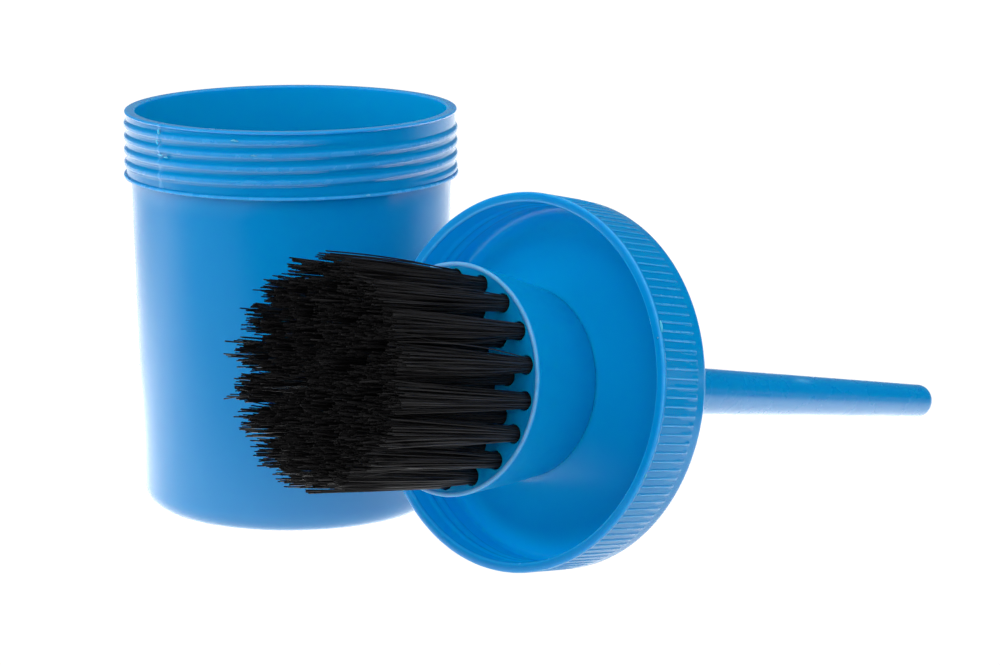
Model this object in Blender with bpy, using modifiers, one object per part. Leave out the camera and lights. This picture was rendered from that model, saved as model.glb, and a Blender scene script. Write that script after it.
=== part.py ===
"""Screw-top pot with a round brush fixed inside its lid.

The pot stands open on the floor. The lid lies beside it, its back edge on the
floor, its bristles towards -X and its handle towards +X.
"""
import math

import bmesh
import bpy
from mathutils import Matrix, Vector

MM = 0.001

# Pot, heights above the floor
POT_SIDES = 64
POT_HEIGHT = 112.8
POT_BASE_R = 43.1
POT_BASE_ROUND = 5.8
POT_BODY_TOP_R = 45.0
POT_COLLAR_LOW = 94.1
POT_COLLAR_HIGH = 95.05
POT_COLLAR_R = 47.1
POT_NECK_R = 46.25
POT_RIM_R = 46.7
POT_MOUTH_R = 43.8
POT_INSIDE_BASE_R = 41.2
POT_FLOOR_THICK = 2.4
POT_INSIDE_ROUND = 4.0

# Screw thread, shared by the pot's neck and the lid
THREAD_PITCH = 3.65
POT_THREAD_START = 95.7
POT_THREAD_TURNS = 4
POT_THREAD_DEPTH = 0.65
POT_THREAD_START_DEG = -99.0
THREAD_FADE_TURNS = 0.11

# Cap, distances along the lid's own axis from the plane of its open rim
CAP_SIDES = 64
CAP_HEIGHT = 18.6
CAP_RIM_R = 50.1
CAP_LAND_R = 49.8
CAP_BACK_R = 49.2
CAP_INSIDE_R = 47.35
CAP_CORNER_S = 16.9
CAP_FLOOR_OUTER_R = 45.0
CAP_BOSS_R = 25.6
CAP_BOSS_S = 2.9
CAP_FLOOR_POWER = 1.6
CAP_WALL = 2.2
CAP_HOLE_R = 4.3
CAP_RECESS_R = 41.0
CAP_THREAD_TURNS = 2
CAP_THREAD_START = 4.6
CAP_THREAD_DEPTH = 0.7
CAP_THREAD_START_DEG = 40.0

# Fine raised ribs round the cap's skirt
RIB_COUNT = 128
RIB_LOW = 1.6
RIB_HIGH = 14.9
RIB_END = 0.3
RIB_WIDTH = 0.8
RIB_CREST_LOW_R = 50.08
RIB_CREST_HIGH_R = 49.55

# Brush block
BLOCK_SIDES = 48
BLOCK_FACE_S = -25.5
BLOCK_BACK_S = 2.6
BLOCK_FACE_R = 30.3
BLOCK_BACK_R = 25.2
BLOCK_BORE_R = 4.3
BLOCK_BORE_END_S = -10.3

# Tufts, in rings about the lid's axis: ring radius, count, angle of the first
TUFT_RINGS = (
    (26.1, 18, 13.6),
    (19.7, 12, 19.5),
    (13.1, 8, 0.0),
    (6.5, 4, 20.0),
    (0.0, 1, 0.0),
)
TUFT_SIDES = 8
TUFT_HOLE_R = 2.6
TUFT_HOLE_DEPTH = 9.0
TUFT_ROOT_R = 2.28
TUFT_END_R = 2.85
TUFT_END_S = -73.6
TUFT_SPREAD = 1.05

# Handle
HANDLE_SIDES = 24
HANDLE_SPIGOT_R = 4.0
HANDLE_SPIGOT_END_S = -10.0
HANDLE_SEAT_S = 6.5
HANDLE_SEAT_R = 9.6
HANDLE_R_AT_BACK = 7.5
HANDLE_TIP_R = 4.8
HANDLE_TIP_S = 184.8

# How the lid lies: its axis leans down towards the handle's tip
LID_LEAN_DEG = 11.0
LID_X = -15.8
LID_Y = -100.8

BLUE = (0.012, 0.180, 0.640, 1.0)
BLACK = (0.006, 0.006, 0.008, 1.0)


def clear_scene():
    for obj in list(bpy.data.objects):
        bpy.data.objects.remove(obj)


def collection(name, hidden):
    made = bpy.data.collections.new(name)
    bpy.context.scene.collection.children.link(made)
    made.hide_render = hidden
    return made


def material(name, colour, roughness, metallic=0.0):
    made = bpy.data.materials.new(name)
    made.use_nodes = True
    shader = made.node_tree.nodes["Principled BSDF"]
    shader.inputs["Base Color"].default_value = colour
    shader.inputs["Roughness"].default_value = roughness
    shader.inputs["Metallic"].default_value = metallic
    made.diffuse_color = colour
    return made


def ring(bm, radius, height, sides):
    """Corners of a regular polygon about the Z axis, in millimetres."""
    corners = []
    for i in range(sides):
        angle = 2 * math.pi * i / sides
        at = Vector((radius * math.cos(angle), radius * math.sin(angle), height))
        corners.append(bm.verts.new(at * MM))
    return corners


def bridge(bm, low, high):
    """Quads between two rings of the same count."""
    count = len(low)
    for i in range(count):
        k = (i + 1) % count
        bm.faces.new((low[i], low[k], high[k], high[i]))


def turned(bm, profile, sides):
    """Rings at each (radius, height) of the profile, bridged in order. Returns the first and last."""
    rings = [ring(bm, radius, height, sides) for radius, height in profile]
    for low, high in zip(rings, rings[1:]):
        bridge(bm, low, high)
    return rings[0], rings[-1]


def smooth_step(t):
    t = min(1.0, max(0.0, t))
    return t * t * (3 - 2 * t)


def thread_band(bm, low, high, wall_r, depth, start, lowest, turns, start_deg, sides, half_root, half_crest):
    """A wall with one helical ridge, between two flat rings. A negative depth points the ridge inwards.

    No point lies under lowest. Each column of the wall holds four points per turn. At the seam, each turn meets the next one up, and
    the extra points at both ends join the flat rings in one face.
    """
    section = ((-half_root, 0.0), (-half_crest, 1.0), (half_crest, 1.0), (half_root, 0.0))
    shift = int(round(start_deg / 360 * sides))
    columns = []
    for j in range(sides):
        angle = 2 * math.pi * (j + shift) / sides
        column = []
        for turn in range(turns):
            along = turn + j / sides
            fade = smooth_step(along / THREAD_FADE_TURNS)
            fade *= smooth_step((turns - 1 / sides - along) / THREAD_FADE_TURNS)
            for rise, share in section:
                radius = wall_r + depth * share * fade
                height = max(lowest, start + THREAD_PITCH * along + rise)
                at = Vector((radius * math.cos(angle), radius * math.sin(angle), height))
                column.append(bm.verts.new(at * MM))
        columns.append(column)
    low = [low[(j + shift) % sides] for j in range(sides)]
    high = [high[(j + shift) % sides] for j in range(sides)]
    for j in range(sides - 1):
        left = [low[j]] + columns[j] + [high[j]]
        right = [low[j + 1]] + columns[j + 1] + [high[j + 1]]
        for i in range(len(left) - 1):
            bm.faces.new((left[i], right[i], right[i + 1], left[i + 1]))
    last = columns[-1]
    first = columns[0]
    per_turn = len(section)
    bm.faces.new([low[-1], low[0]] + first[: per_turn + 1] + [last[0]])
    for i in range(len(last) - per_turn):
        if i + per_turn + 1 < len(first):
            bm.faces.new((last[i], first[i + per_turn], first[i + per_turn + 1], last[i + 1]))
    bm.faces.new([first[-1], high[0], high[-1]] + list(reversed(last[len(last) - per_turn - 1:])))


def finish(bm, name, mat, matrix, where):
    """Turns the mesh into an object with crisp edges kept crisp."""
    bmesh.ops.recalc_face_normals(bm, faces=bm.faces)
    bmesh.ops.triangulate(bm, faces=[f for f in bm.faces if len(f.verts) > 4])
    mesh = bpy.data.meshes.new(name)
    bm.to_mesh(mesh)
    bm.free()
    mesh.materials.append(mat)
    mesh.polygons.foreach_set("use_smooth", [True] * len(mesh.polygons))
    mesh.set_sharp_from_angle(angle=math.radians(38))
    obj = bpy.data.objects.new(name, mesh)
    obj.matrix_world = matrix
    where.objects.link(obj)
    return obj


def arc(centre_r, centre_s, radius, from_deg, to_deg, steps):
    """Points on a circular arc of a profile."""
    points = []
    for i in range(steps + 1):
        angle = math.radians(from_deg + (to_deg - from_deg) * i / steps)
        points.append((centre_r + radius * math.cos(angle), centre_s + radius * math.sin(angle)))
    return points


def make_pot(where, mat):
    """The pot: flat base, slightly tapered body, collar, threaded neck and plain inside."""
    bm = bmesh.new()
    base = [(POT_BASE_R - POT_BASE_ROUND, 0.0)]
    base += arc(POT_BASE_R - POT_BASE_ROUND, POT_BASE_ROUND, POT_BASE_ROUND, -67.5, 0, 3)
    body = [
        (POT_BODY_TOP_R, POT_COLLAR_LOW - 0.6),
        (POT_COLLAR_R - 0.3, POT_COLLAR_LOW),
        (POT_COLLAR_R, POT_COLLAR_LOW + 0.35),
        (POT_COLLAR_R - 0.3, POT_COLLAR_HIGH - 0.15),
        (POT_NECK_R, POT_COLLAR_HIGH),
    ]
    bottom, neck_low = turned(bm, base + body, POT_SIDES)
    bm.faces.new(list(reversed(bottom)))
    top = [
        (POT_NECK_R, POT_HEIGHT - 0.75),
        (POT_RIM_R - 0.2, POT_HEIGHT - 0.5),
        (POT_RIM_R - 0.5, POT_HEIGHT),
        (POT_MOUTH_R + 0.4, POT_HEIGHT),
        (POT_MOUTH_R, POT_HEIGHT - 0.5),
    ]
    inside = arc(
        POT_INSIDE_BASE_R - POT_INSIDE_ROUND,
        POT_FLOOR_THICK + POT_INSIDE_ROUND,
        POT_INSIDE_ROUND,
        0,
        -90,
        3,
    )
    neck_high, floor = turned(bm, top + inside, POT_SIDES)
    bm.faces.new(floor)
    thread_band(
        bm,
        neck_low,
        neck_high,
        POT_NECK_R,
        POT_THREAD_DEPTH,
        POT_THREAD_START,
        POT_COLLAR_HIGH + 0.08,
        POT_THREAD_TURNS,
        POT_THREAD_START_DEG,
        POT_SIDES,
        1.3,
        0.45,
    )
    return finish(bm, "pot", mat, Matrix.Identity(4), where)


def cap_floor(radius):
    """Where the cap's dished floor lies along the axis, at this radius, and its slope."""
    span = CAP_FLOOR_OUTER_R - CAP_BOSS_R
    rise = CAP_CORNER_S - CAP_BOSS_S
    share = max(0.0, (CAP_FLOOR_OUTER_R - radius) / span)
    height = CAP_CORNER_S - rise * share**CAP_FLOOR_POWER
    slope = CAP_FLOOR_POWER * rise / span * share ** (CAP_FLOOR_POWER - 1)
    return height, slope


def skirt_radius(height):
    return CAP_LAND_R + (CAP_BACK_R - CAP_LAND_R) * height / CAP_HEIGHT


def rib_ring(bm, height, crest_height, crest_r):
    """The foot of every rib at one end of the ribbed band, with the crests just inside that end."""
    edges = []
    crests = []
    half = RIB_WIDTH / 2 / CAP_RIM_R
    for g in range(RIB_COUNT):
        middle = 2 * math.pi * (g + 0.5) / RIB_COUNT
        for angle in (middle - half, middle + half):
            radius = skirt_radius(height)
            at = Vector((radius * math.cos(angle), radius * math.sin(angle), height))
            edges.append(bm.verts.new(at * MM))
        at = Vector((crest_r * math.cos(middle), crest_r * math.sin(middle), crest_height))
        crests.append(bm.verts.new(at * MM))
    return edges, crests


def close_band(bm, plain, edges):
    """Joins a plain ring to the ribs' feet, two ribs to each side of the ring."""
    sides = len(plain)
    per_side = len(edges) // sides
    for j in range(sides):
        own = edges[j * per_side:(j + 1) * per_side]
        following = edges[(j + 1) * per_side % len(edges)]
        corner = plain[(j + 1) % sides]
        bm.faces.new([plain[j], corner] + list(reversed(own)))
        bm.faces.new((corner, following, own[-1]))


def make_cap(where, mat, matrix):
    """The cap: bead, ribbed skirt with a thread inside, dished floor, centre hole, hollow back."""
    bm = bmesh.new()
    radii = (CAP_BOSS_R, 28.2, 31.0, 34.2, 37.8, 41.6, CAP_FLOOR_OUTER_R)
    floor = [(CAP_HOLE_R, CAP_BOSS_S)]
    floor += [(radius, cap_floor(radius)[0]) for radius in radii]
    floor += [(46.6, CAP_CORNER_S - 0.2), (CAP_INSIDE_R, CAP_CORNER_S - 0.95), (CAP_INSIDE_R, 14.2)]
    hole_front, wall_high = turned(bm, floor, CAP_SIDES)
    rim = [
        (CAP_INSIDE_R, 1.0),
        (CAP_INSIDE_R + 0.35, 0.15),
        (CAP_INSIDE_R + 0.7, 0.0),
        (CAP_RIM_R - 0.45, 0.0),
        (CAP_RIM_R, 0.4),
        (CAP_RIM_R, 1.1),
        (skirt_radius(RIB_LOW - 0.2), RIB_LOW - 0.2),
    ]
    wall_low, plain_low = turned(bm, rim, CAP_SIDES)
    thread_band(
        bm,
        wall_low,
        wall_high,
        CAP_INSIDE_R,
        -CAP_THREAD_DEPTH,
        CAP_THREAD_START,
        CAP_THREAD_START - 1.5,
        CAP_THREAD_TURNS,
        CAP_THREAD_START_DEG,
        CAP_SIDES,
        0.85,
        0.3,
    )
    back_radii = (40.0, 36.5, 33.0, 29.8, 27.3)
    back = [
        (skirt_radius(RIB_HIGH + 0.35), RIB_HIGH + 0.35),
        (CAP_BACK_R, CAP_HEIGHT - 0.9),
        (CAP_BACK_R - 0.25, CAP_HEIGHT - 0.25),
        (CAP_BACK_R - 0.9, CAP_HEIGHT),
        (CAP_RECESS_R + 0.9, CAP_HEIGHT),
    ]
    for radius in back_radii:
        height, slope = cap_floor(radius)
        back.append((radius, min(CAP_HEIGHT - 0.5, height + CAP_WALL * math.hypot(1, slope))))
    flat = CAP_BOSS_S + CAP_WALL * 1.5
    back += [(CAP_BOSS_R - 0.6, flat), (CAP_HOLE_R, flat)]
    plain_high, hole_back = turned(bm, back, CAP_SIDES)
    bridge(bm, hole_back, hole_front)
    edges_low, crests_low = rib_ring(bm, RIB_LOW, RIB_LOW + RIB_END, RIB_CREST_LOW_R)
    edges_high, crests_high = rib_ring(bm, RIB_HIGH, RIB_HIGH - RIB_END, RIB_CREST_HIGH_R)
    close_band(bm, plain_low, edges_low)
    close_band(bm, plain_high, edges_high)
    for g in range(RIB_COUNT):
        a = 2 * g
        b = a + 1
        c = (a + 2) % (2 * RIB_COUNT)
        bm.faces.new((edges_low[a], crests_low[g], crests_high[g], edges_high[a]))
        bm.faces.new((crests_low[g], edges_low[b], edges_high[b], crests_high[g]))
        bm.faces.new((edges_low[a], edges_low[b], crests_low[g]))
        bm.faces.new((edges_high[a], edges_high[b], crests_high[g]))
        bm.faces.new((edges_low[b], edges_low[c], edges_high[c], edges_high[b]))
    return finish(bm, "cap", mat, matrix, where)


def screw_solid(name, profile, sides, mat, matrix, where):
    """A solid of revolution: the profile runs down its outer side, from axis to axis."""
    mesh = bpy.data.meshes.new(name)
    corners = [(radius * MM, 0, height * MM) for radius, height in profile]
    mesh.from_pydata(corners, [(i, i + 1) for i in range(len(corners) - 1)], [])
    mesh.materials.append(mat)
    obj = bpy.data.objects.new(name, mesh)
    obj.matrix_world = matrix
    where.objects.link(obj)
    turn = obj.modifiers.new("turn", "SCREW")
    turn.axis = "Z"
    turn.steps = sides
    turn.render_steps = sides
    turn.use_merge_vertices = True
    turn.merge_threshold = 0.00001
    turn.use_smooth_shade = True
    return obj


def tuft_places():
    """Name, centre on the block's face, of every tuft, ring by ring."""
    places = []
    for radius, count, first in TUFT_RINGS:
        for i in range(count):
            angle = math.radians(first + 360 * i / count)
            number = len(places) + 1
            at = (radius * math.cos(angle), radius * math.sin(angle))
            places.append((f"tuft_{number:02d}", at))
    return places


def make_block(where, cutters, mat, matrix):
    """The brush block: a cone wider at its face, with a raised edge, tuft holes and a bore behind."""
    profile = [
        (0.0, BLOCK_BORE_END_S),
        (BLOCK_BORE_R, BLOCK_BORE_END_S),
        (BLOCK_BORE_R, BLOCK_BACK_S),
        (BLOCK_BACK_R, BLOCK_BACK_S),
        (BLOCK_BACK_R + 2.3, -9.0),
        (BLOCK_FACE_R - 0.2, BLOCK_FACE_S + 1.4),
        (BLOCK_FACE_R, BLOCK_FACE_S + 0.2),
        (BLOCK_FACE_R - 0.3, BLOCK_FACE_S - 0.2),
        (BLOCK_FACE_R - 0.9, BLOCK_FACE_S - 0.2),
        (BLOCK_FACE_R - 1.2, BLOCK_FACE_S),
        (0.0, BLOCK_FACE_S),
    ]
    block = screw_solid("brush_block", profile, BLOCK_SIDES, mat, matrix, where)
    bm = bmesh.new()
    for _, (x, y) in tuft_places():
        low = []
        high = []
        for i in range(TUFT_SIDES):
            angle = 2 * math.pi * i / TUFT_SIDES
            dx = TUFT_HOLE_R * math.cos(angle)
            dy = TUFT_HOLE_R * math.sin(angle)
            low.append(bm.verts.new(Vector((x + dx, y + dy, BLOCK_FACE_S - 2)) * MM))
            high.append(bm.verts.new(Vector((x + dx, y + dy, BLOCK_FACE_S + TUFT_HOLE_DEPTH)) * MM))
        bridge(bm, low, high)
        bm.faces.new(list(reversed(low)))
        bm.faces.new(high)
    holes = finish(bm, "tuft_holes", mat, matrix, cutters)
    holes.hide_render = True
    holes.display_type = "WIRE"
    cut = block.modifiers.new("tuft_holes", "BOOLEAN")
    cut.operation = "DIFFERENCE"
    cut.solver = "EXACT"
    cut.object = holes
    return block


def make_handle(where, mat, matrix):
    """The handle: spigot through the cap into the block, seat on the cap's back, long taper, round tip."""
    fall = (HANDLE_R_AT_BACK - HANDLE_TIP_R) / (HANDLE_TIP_S - CAP_HEIGHT)

    def taper(height):
        return HANDLE_R_AT_BACK - fall * (height - CAP_HEIGHT)

    round_centre = HANDLE_TIP_S - 3.6
    tip_r = taper(round_centre)
    tip = [(0.0, HANDLE_TIP_S)]
    for degrees in (65, 42, 20, 0):
        angle = math.radians(degrees)
        tip.append((tip_r * math.cos(angle), round_centre + 3.6 * math.sin(angle)))
    profile = tip + [
        (taper(130.0), 130.0),
        (taper(70.0), 70.0),
        (taper(14.0), 14.0),
        (taper(10.0) + 0.5, 10.0),
        (HANDLE_SEAT_R - 1.0, 7.6),
        (HANDLE_SEAT_R, HANDLE_SEAT_S),
        (HANDLE_SPIGOT_R, HANDLE_SEAT_S),
        (HANDLE_SPIGOT_R, HANDLE_SPIGOT_END_S + 0.6),
        (HANDLE_SPIGOT_R - 0.6, HANDLE_SPIGOT_END_S),
        (0.0, HANDLE_SPIGOT_END_S),
    ]
    return screw_solid("handle", profile, HANDLE_SIDES, mat, matrix, where)


def make_tuft(name, centre, where, mat, matrix):
    """One tuft: straight in its hole, then spreading a little to its free end."""
    bm = bmesh.new()
    out_x = centre[0] * (TUFT_SPREAD - 1)
    out_y = centre[1] * (TUFT_SPREAD - 1)
    length = BLOCK_FACE_S - TUFT_END_S
    stations = (
        (TUFT_ROOT_R, BLOCK_FACE_S + TUFT_HOLE_DEPTH - 0.3, 0.0),
        (TUFT_ROOT_R, BLOCK_FACE_S - 0.5, 0.0),
        (TUFT_END_R - 0.25, BLOCK_FACE_S - length * 0.55, 0.5),
        (TUFT_END_R, TUFT_END_S, 1.0),
    )
    rings = []
    for radius, height, share in stations:
        corners = []
        for i in range(TUFT_SIDES):
            angle = 2 * math.pi * i / TUFT_SIDES
            x = centre[0] + out_x * share + radius * math.cos(angle)
            y = centre[1] + out_y * share + radius * math.sin(angle)
            corners.append(bm.verts.new(Vector((x, y, height)) * MM))
        rings.append(corners)
    for low, high in zip(rings, rings[1:]):
        bridge(bm, low, high)
    bm.faces.new(rings[0])
    tip = bm.verts.new(Vector((centre[0] + out_x, centre[1] + out_y, TUFT_END_S - 0.9)) * MM)
    for i in range(TUFT_SIDES):
        bm.faces.new((rings[-1][i], rings[-1][(i + 1) % TUFT_SIDES], tip))
    return finish(bm, name, mat, matrix, where)


def lid_matrix():
    """The lid's frame: Z towards the handle's tip, X upwards, resting with its lowest edge on the floor."""
    lean = math.radians(LID_LEAN_DEG)
    along = Vector((math.cos(lean), 0, -math.sin(lean)))
    upward = Vector((math.sin(lean), 0, math.cos(lean)))
    side = along.cross(upward)
    edges = ((CAP_RIM_R, 0.4), (CAP_BACK_R, CAP_HEIGHT - 0.9), (CAP_BACK_R - 0.25, CAP_HEIGHT - 0.25))
    height = max(radius * math.cos(lean) + s * math.sin(lean) for radius, s in edges)
    place = Matrix((upward, side, along)).transposed().to_4x4()
    place.translation = Vector((LID_X, LID_Y, height)) * MM
    return place


def build():
    clear_scene()
    parts = collection("screw_top_brush_pot", False)
    cutters = collection("cutters", True)
    pot_blue = material("pot_plastic", BLUE, 0.28)
    cap_blue = material("cap_plastic", BLUE, 0.28)
    block_blue = material("block_plastic", BLUE, 0.32)
    handle_blue = material("handle_plastic", BLUE, 0.25)
    bristle = material("bristle_nylon", BLACK, 0.45)
    lid = lid_matrix()
    make_pot(parts, pot_blue)
    make_cap(parts, cap_blue, lid)
    make_block(parts, cutters, block_blue, lid)
    make_handle(parts, handle_blue, lid)
    for name, centre in tuft_places():
        make_tuft(name, centre, parts, bristle, lid)


build()
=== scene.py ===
"""Looks for the screw-top brush pot: a blue moulded pot, its ribbed lid and a brush of black filaments.

Lengths are in millimetres up to the point where a mesh is made. The lid's pieces are modelled about the
lid's own axis: Z runs towards the handle's tip from the plane of the cap's open rim, and X points up.
"""

import math

import bmesh
import bpy
import numpy as np
from mathutils import Matrix, Vector


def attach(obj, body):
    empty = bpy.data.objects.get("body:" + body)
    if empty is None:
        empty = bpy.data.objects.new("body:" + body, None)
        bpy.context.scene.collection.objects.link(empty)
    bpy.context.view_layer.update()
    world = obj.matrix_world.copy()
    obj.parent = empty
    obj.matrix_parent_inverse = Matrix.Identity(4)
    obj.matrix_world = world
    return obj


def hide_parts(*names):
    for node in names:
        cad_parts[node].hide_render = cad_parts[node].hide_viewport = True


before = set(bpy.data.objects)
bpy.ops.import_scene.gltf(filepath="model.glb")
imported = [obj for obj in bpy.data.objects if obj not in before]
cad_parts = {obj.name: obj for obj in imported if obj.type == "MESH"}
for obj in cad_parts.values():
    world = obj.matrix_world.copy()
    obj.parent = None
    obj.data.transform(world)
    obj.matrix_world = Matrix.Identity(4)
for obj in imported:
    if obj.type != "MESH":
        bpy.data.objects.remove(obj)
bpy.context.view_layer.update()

MM = 0.001
TAU = 2 * math.pi

# Pot, heights above the floor
POT_HEIGHT = 112.8
POT_BASE_R = 43.1
POT_BASE_ROUND = 5.8
POT_BODY_TOP_R = 45.0
POT_COLLAR_LOW = 94.1
POT_COLLAR_HIGH = 95.05
POT_COLLAR_R = 47.1
POT_NECK_R = 46.25
POT_RIM_R = 46.7
POT_MOUTH_R = 43.8
POT_INSIDE_BASE_R = 41.2
POT_FLOOR = 2.4
POT_COLUMNS = 320
POT_SEAM_DEG = 175.9

# Burrs: angle, radius, height, length round the wall, height of the sliver
NECK_BURRS = (
    (175.9, 46.75, 110.4, 0.9, 2.6),
    (175.2, 46.85, 107.6, 0.8, 1.8),
    (176.6, 46.80, 104.4, 2.2, 1.1),
    (179.6, 46.85, 103.9, 1.6, 0.8),
    (-152.5, 46.85, 110.2, 2.4, 0.9),
    (-146.1, 46.85, 106.3, 2.0, 0.7),
    (-107.6, 47.05, 94.7, 1.3, 0.7),
)
CAP_BURRS = (
    (65.0, 50.05, 1.0, 3.2, 1.3),
    (68.2, 49.2, 0.05, 0.5, 0.5),
    (110.0, 50.0, 0.7, 1.4, 0.5),
)

# Screw thread
PITCH = 3.65
POT_THREAD = {"start": 95.7, "turns": 4, "depth": 0.68, "first_deg": -99.0}
CAP_THREAD = {"start": 4.6, "turns": 2, "depth": -0.32, "first_deg": 40.0}
RIDGE_CREST = 0.06
RIDGE_ROOT = 0.42
FADE_TURNS = 0.11

# Cap, distances along the lid's axis from its open rim
CAP_HEIGHT = 18.6
CAP_RIM_R = 50.1
CAP_LAND_R = 49.8
CAP_BACK_R = 49.2
CAP_INSIDE_R = 47.35
CAP_CORNER_S = 16.9
CAP_FLOOR_R = 45.0
CAP_BOSS_R = 25.6
CAP_BOSS_S = 2.9
CAP_FLOOR_POWER = 1.6
CAP_WALL = 2.2
CAP_HOLE_R = 4.3
CAP_RECESS_R = 41.0
RIBS = 128
RIB_LOW = 1.6
RIB_HIGH = 14.9
RIB_CREST_LOW_R = 50.05
RIB_CREST_HIGH_R = 49.5
# Columns of one rib, as shares of the rib pitch, and how far each is raised
RIB_COLUMNS = ((-0.5, 0.0), (-0.15, 0.0), (-0.08, 0.75), (0.0, 1.0), (0.08, 0.75), (0.15, 0.0))

# Brush block and its tufts; a ring is its radius, its count and the angle of its first tuft
BLOCK_FACE_S = -25.5
BLOCK_BACK_S = 2.6
BLOCK_FACE_R = 30.3
BLOCK_BACK_R = 25.2
TUFT_RINGS = (
    (26.1, 18, 13.6),
    (19.7, 12, 19.5),
    (13.1, 8, 0.0),
    (6.5, 4, 20.0),
    (0.0, 1, 0.0),
)
TUFT_HOLE_R = 2.5
TUFT_HOLE_DEPTH = 9.0
TUFT_R = 2.2
TUFT_END_S = -74.0
TUFT_END_R = 4.3
FILAMENTS = 84
FILAMENT_R = 0.185
# How filaments are set out: the turn from one to the next, then spreads and shares of one tuft's filaments
GOLDEN_ANGLE = 2.399963
ROOT_SCATTER = 0.05
END_SCATTER = 0.42
LENGTH_SCATTER = 0.75
LONG_BELOW = 0.10
SHORT_FROM = 0.12
SHORT_TO = 0.20
OFF_LENGTH = 3.0
STRAY_ABOVE = 0.985
STRAY_LEAST = 1.5
STRAY_MORE = 10.0
STRAY_SCATTER = 1.6
BEND_SCATTER = 0.32
KINKED_SHARE = 0.06
KINK_SCATTER = 1.1
CUT_TILT = 0.35

# Handle
HANDLE_SEAT_S = 6.5
HANDLE_SEAT_R = 9.6
HANDLE_R_AT_BACK = 7.5
HANDLE_TIP_R = 4.8
HANDLE_ROUND = 3.7
HANDLE_SAG = 0.4
HANDLE_TIP_S = 184.4
# The scuff on the handle: where it is, along and round, its half sizes, and the handle's radius there
SCUFF_S = 119.0
SCUFF_TURN = 0.65
SCUFF_LENGTH = 3.0
SCUFF_WIDTH = 0.9
SCUFF_AT_R = 6.5

# How pale an edge is painted: 0 is new plastic and 1 is fully pale. On seams, burrs, the lip, mouth,
# collar, handle tip and scuff it is wear; on thread crests, ribs, the cap's rim edges and back corner and
# the block's face edge it is partly wear and partly a painted highlight
SEAM_WEAR = 0.75
BURR_WEAR = 0.75
THREAD_WEAR_AND_HIGHLIGHT = 0.26
COLLAR_WEAR = 0.32
LIP_WEAR = 0.16
MOUTH_EDGE_WEAR = 0.35
RIB_WEAR_AND_HIGHLIGHT = 0.22
CAP_INSIDE_EDGE_WEAR_AND_HIGHLIGHT = 0.14
CAP_BEAD_WEAR_AND_HIGHLIGHT = (0.15, 0.45, 0.12)
CAP_CORNER_WEAR_AND_HIGHLIGHT = 0.16
BLOCK_EDGE_WEAR_AND_HIGHLIGHT = (0.2, 0.45, 0.5, 0.45, 0.2)
HANDLE_TIP_WEAR = 0.12
SCUFF_WEAR = 0.8

# Painted light: how much of a paler blue a wall takes, standing for light that comes through the thin
# plastic into the hollows. The cap's dish is painted darker near the boss, a painted shade, and goes from
# the first radius to the second up to full painted light
POT_PAINTED_LIGHT = 0.35
CAP_DISH_PAINTED_LIGHT = 0.12
CAP_DISH_LIGHT_FROM_R = 38
CAP_DISH_LIGHT_TO_R = 47
CAP_INSIDE_EDGE_PAINTED_LIGHT = 0.3

# How the lid lies
LID_LEAN_DEG = 11.0
LID_X = -15.8
LID_Y = -100.8

# The camera, from the middle of the pot's base
CAMERA_AT = (-690.1, -722.5, 257.4)
CAMERA_HEADING_DEG = -47.06
CAMERA_DOWN_DEG = 11.85
CAMERA_LENS = 128.8


def lid_matrix():
    """The lid's frame in the row frame, with the lid's lowest edge on the floor."""
    lean = math.radians(LID_LEAN_DEG)
    along = Vector((math.cos(lean), 0, -math.sin(lean)))
    upward = Vector((math.sin(lean), 0, math.cos(lean)))
    side = along.cross(upward)
    edges = ((CAP_RIM_R, 0.4), (CAP_BACK_R, CAP_HEIGHT - 0.9), (CAP_BACK_R - 0.25, CAP_HEIGHT - 0.25))
    height = max(radius * math.cos(lean) + s * math.sin(lean) for radius, s in edges)
    place = Matrix((upward, side, along)).transposed().to_4x4()
    place.translation = Vector((LID_X, LID_Y, height)) * MM
    return place


LID = lid_matrix()


# ---- Geometry -------------------------------------------------------------


def smooth(t):
    t = np.clip(t, 0, 1)
    return t * t * (3 - 2 * t)


def helix(radius, height, angle, thread):
    """Adds a helical ridge to a wall's radius, fading out at both ends. All three may be arrays."""
    share = np.mod(angle - math.radians(thread["first_deg"]), TAU) / TAU
    turn = np.round((height - thread["start"]) / PITCH - share)
    inside = (turn >= 0) & (turn < thread["turns"])
    along = turn + share
    off = np.abs((height - thread["start"]) / PITCH - along)
    ridge = smooth((RIDGE_ROOT - off) / (RIDGE_ROOT - RIDGE_CREST))
    fade = smooth(along / FADE_TURNS) * smooth((thread["turns"] - along) / FADE_TURNS)
    amount = np.where(inside, ridge * fade, 0.0)
    return radius + thread["depth"] * amount, amount


def arc(centre_r, centre_s, radius, from_deg, to_deg, steps):
    angles = np.radians(np.linspace(from_deg, to_deg, steps + 1))
    return [(centre_r + radius * math.cos(a), centre_s + radius * math.sin(a)) for a in angles]


def rows_between(a, b, step):
    """Profile points from a to b, no further apart than step."""
    count = max(1, math.ceil(math.dist(a, b) / step))
    return [(a[0] + (b[0] - a[0]) * i / count, a[1] + (b[1] - a[1]) * i / count) for i in range(count)]


def grid_faces(rows, columns, loop=False):
    """Quads of a tube of rows, each a closed ring of columns. loop joins the last row to the first."""
    last = rows if loop else rows - 1
    i, j = np.meshgrid(np.arange(last), np.arange(columns), indexing="ij")
    k = (j + 1) % columns
    n = (i + 1) % rows
    quads = np.stack([i * columns + j, i * columns + k, n * columns + k, n * columns + j], axis=-1)
    return quads.reshape(-1, 4)


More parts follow.
